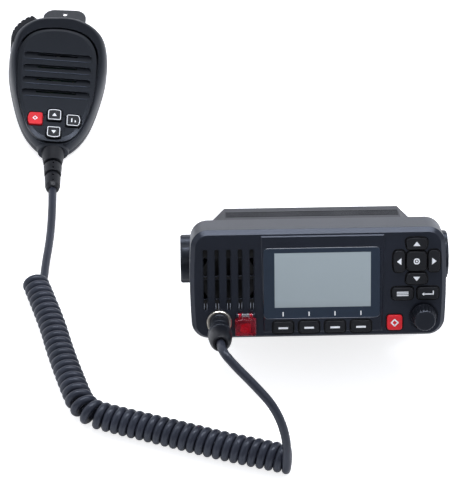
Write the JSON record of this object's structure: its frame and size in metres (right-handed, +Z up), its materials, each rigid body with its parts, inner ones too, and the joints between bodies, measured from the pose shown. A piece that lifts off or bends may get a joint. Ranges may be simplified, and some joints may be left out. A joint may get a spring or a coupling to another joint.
{
  "type": "vhf marine radio",
  "caption": "Fixed-mount marine VHF radio on a tilting U bracket, with screen, keys, volume knob, guarded key and a fist microphone on a coiled cord.",
  "frame": {"origin": "centre of the bracket's four screw holes, on the surface the bracket stands on", "axes": "+X to the radio's right as its user sees it, +Y away from the user, +Z up"},
  "size_m": [0.2862, 0.4619, 0.1049],
  "materials": {
    "shell": "moulded charcoal grey, fine grain",
    "mic_shell": "moulded charcoal grey, fine grain",
    "face_panel": "moulded near-black, fine grain",
    "lens": "polished window with a dark printed border",
    "lcd": "unlit grey liquid crystal panel",
    "key_rubber": "black silicone rubber with white marks",
    "key_red": "red moulded key with white marks",
    "cover_red": "translucent red moulded cover",
    "knob": "black moulded knob",
    "chassis": "powder-coated die casting",
    "bracket": "black powder-coated sheet",
    "metal": "nickel plated",
    "steel": "stainless steel",
    "stainless_sheet": "pressed stainless sheet",
    "insulator": "black insulator",
    "cord": "dark grey cord jacket",
    "seal": "black rubber",
    "circuit": "green circuit board",
    "cone": "black paper cone"
  },
  "bodies": {
    "base": {"bracket": "bracket", "coil_cord": "cord", "plug_lead": "cord", "mic_lead": "cord", "mic_front_shell": "mic_shell", "mic_rear_shell": "mic_shell", "mic_face_panel": "face_panel", "mic_board": "circuit", "mic_capsule": "metal", "hang_stud": "metal", "mic_screws": "steel", "mic_strain_relief": "cord"},
    "radio": {"front_shell": "shell", "screen_lens": "lens", "lcd_panel": "lcd", "front_board": "circuit", "keypad_mat": "seal", "speaker_frame": "steel", "speaker_cone": "cone", "encoder": "metal", "distress_pin": "steel", "mic_socket": "metal", "socket_insert": "insulator", "front_gasket": "seal", "rear_chassis": "chassis", "chassis_screws": "steel", "main_board": "circuit", "shield_can": "steel", "aerial_socket": "metal", "cable_glands": "seal", "arm_washers": "seal", "plug_body": "knob", "plug_boot": "cord"},
    "key_soft_1": {"key_soft_1": "key_rubber"},
    "key_soft_2": {"key_soft_2": "key_rubber"},
    "key_soft_3": {"key_soft_3": "key_rubber"},
    "key_soft_4": {"key_soft_4": "key_rubber"},
    "key_ok": {"key_ok": "key_rubber"},
    "key_up": {"key_up": "key_rubber"},
    "key_down": {"key_down": "key_rubber"},
    "key_left": {"key_left": "key_rubber"},
    "key_right": {"key_right": "key_rubber"},
    "key_menu": {"key_menu": "key_rubber"},
    "key_back": {"key_back": "key_rubber"},
    "key_sixteen": {"key_sixteen": "key_red"},
    "distress_key": {"distress_key": "key_red"},
    "distress_cover": {"distress_cover": "cover_red", "distress_spring": "steel"},
    "volume_knob": {"volume_knob": "knob"},
    "plug_ring": {"plug_ring": "knob"},
    "knob_left": {"knob_left": "knob", "knob_screw_left": "steel"},
    "knob_right": {"knob_right": "knob", "knob_screw_right": "steel"},
    "talk_bar": {"talk_bar": "key_rubber"},
    "mic_key_sixteen": {"mic_key_sixteen": "key_red"},
    "mic_key_power": {"mic_key_power": "key_rubber"},
    "mic_key_up": {"mic_key_up": "key_rubber"},
    "mic_key_down": {"mic_key_down": "key_rubber"},
    "hanger": {"mic_hanger": "stainless_sheet"}
  },
  "joints": [
    {"name": "radio_tilt", "type": "hinge", "parent": "base", "child": "radio", "pos_m": [0, -0.012, 0.055], "axis": [-1, 0, 0], "range_deg": [-26.5, 8.5], "deforming": ["plug_lead"]},
    {"name": "key_soft_1_press", "type": "slide", "parent": "radio", "child": "key_soft_1", "axis": [0, 0.8949, -0.4462], "range_m": [0, 0.0009], "stiffness_N_per_m": 700, "springref_m": -0.0006},
    {"name": "key_soft_2_press", "type": "slide", "parent": "radio", "child": "key_soft_2", "axis": [0, 0.8949, -0.4462], "range_m": [0, 0.0009], "stiffness_N_per_m": 700, "springref_m": -0.0006},
    {"name": "key_soft_3_press", "type": "slide", "parent": "radio", "child": "key_soft_3", "axis": [0, 0.8949, -0.4462], "range_m": [0, 0.0009], "stiffness_N_per_m": 700, "springref_m": -0.0006},
    {"name": "key_soft_4_press", "type": "slide", "parent": "radio", "child": "key_soft_4", "axis": [0, 0.8949, -0.4462], "range_m": [0, 0.0009], "stiffness_N_per_m": 700, "springref_m": -0.0006},
    {"name": "key_ok_press", "type": "slide", "parent": "radio", "child": "key_ok", "axis": [0, 0.8949, -0.4462], "range_m": [0, 0.0009], "stiffness_N_per_m": 700, "springref_m": -0.0006},
    {"name": "key_up_press", "type": "slide", "parent": "radio", "child": "key_up", "axis": [0, 0.8949, -0.4462], "range_m": [0, 0.0009], "stiffness_N_per_m": 700, "springref_m": -0.0006},
    {"name": "key_down_press", "type": "slide", "parent": "radio", "child": "key_down", "axis": [0, 0.8949, -0.4462], "range_m": [0, 0.0009], "stiffness_N_per_m": 700, "springref_m": -0.0006},
    {"name": "key_left_press", "type": "slide", "parent": "radio", "child": "key_left", "axis": [0, 0.8949, -0.4462], "range_m": [0, 0.0009], "stiffness_N_per_m": 700, "springref_m": -0.0006},
    {"name": "key_right_press", "type": "slide", "parent": "radio", "child": "key_right", "axis": [0, 0.8949, -0.4462], "range_m": [0, 0.0009], "stiffness_N_per_m": 700, "springref_m": -0.0006},
    {"name": "key_menu_press", "type": "slide", "parent": "radio", "child": "key_menu", "axis": [0, 0.8949, -0.4462], "range_m": [0, 0.0009], "stiffness_N_per_m": 700, "springref_m": -0.0006},
    {"name": "key_back_press", "type": "slide", "parent": "radio", "child": "key_back", "axis": [0, 0.8949, -0.4462], "range_m": [0, 0.0009], "stiffness_N_per_m": 700, "springref_m": -0.0006},
    {"name": "key_sixteen_press", "type": "slide", "parent": "radio", "child": "key_sixteen", "axis": [0, 0.8949, -0.4462], "range_m": [0, 0.0009], "stiffness_N_per_m": 700, "springref_m": -0.0006},
    {"name": "distress_key_press", "type": "slide", "parent": "radio", "child": "distress_key", "axis": [0, 0.8949, -0.4462], "range_m": [0, 0.0009], "stiffness_N_per_m": 700, "springref_m": -0.0006},
    {"name": "distress_cover_flip", "type": "hinge", "parent": "radio", "child": "distress_cover", "pos_m": [-0.0448, -0.07019, 0.05976], "axis": [-1, 0, 0], "range_deg": [0, 100], "stiffness_Nm_per_rad": 0.002, "springref_deg": -28.65},
    {"name": "volume_turn", "type": "hinge", "parent": "radio", "child": "volume_knob", "pos_m": [0.0645, -0.07403, 0.05833], "axis": [0, -0.8949, 0.4462], "continuous": true},
    {"name": "plug_ring_turn", "type": "hinge", "parent": "radio", "child": "plug_ring", "pos_m": [-0.0609, -0.07922, 0.05913], "axis": [0, -0.8949, 0.4462], "continuous": true},
    {"name": "knob_left_turn", "type": "hinge", "parent": "radio", "child": "knob_left", "pos_m": [-0.077, -0.012, 0.055], "axis": [-1, 0, 0], "continuous": true},
    {"name": "knob_right_turn", "type": "hinge", "parent": "radio", "child": "knob_right", "pos_m": [0.077, -0.012, 0.055], "axis": [1, 0, 0], "continuous": true},
    {"name": "talk_press", "type": "slide", "parent": "base", "child": "talk_bar", "axis": [0.7359, -0.6561, -0.1672], "range_m": [0, 0.0014], "stiffness_N_per_m": 900, "springref_m": -0.0008},
    {"name": "mic_key_sixteen_press", "type": "slide", "parent": "base", "child": "mic_key_sixteen", "axis": [-0.0974, 0.2725, -0.9572], "range_m": [0, 0.0008], "stiffness_N_per_m": 700, "springref_m": -0.0006},
    {"name": "mic_key_power_press", "type": "slide", "parent": "base", "child": "mic_key_power", "axis": [-0.0974, 0.2725, -0.9572], "range_m": [0, 0.0008], "stiffness_N_per_m": 700, "springref_m": -0.0006},
    {"name": "mic_key_up_press", "type": "slide", "parent": "base", "child": "mic_key_up", "axis": [-0.0974, 0.2725, -0.9572], "range_m": [0, 0.0008], "stiffness_N_per_m": 700, "springref_m": -0.0006},
    {"name": "mic_key_down_press", "type": "slide", "parent": "base", "child": "mic_key_down", "axis": [-0.0974, 0.2725, -0.9572], "range_m": [0, 0.0008], "stiffness_N_per_m": 700, "springref_m": -0.0006},
    {"name": "hanger_slide", "type": "slide", "parent": "base", "child": "hanger", "axis": [-0.0748, -0.9879, -0.1355], "range_m": [0, 0.014]}
  ]
}
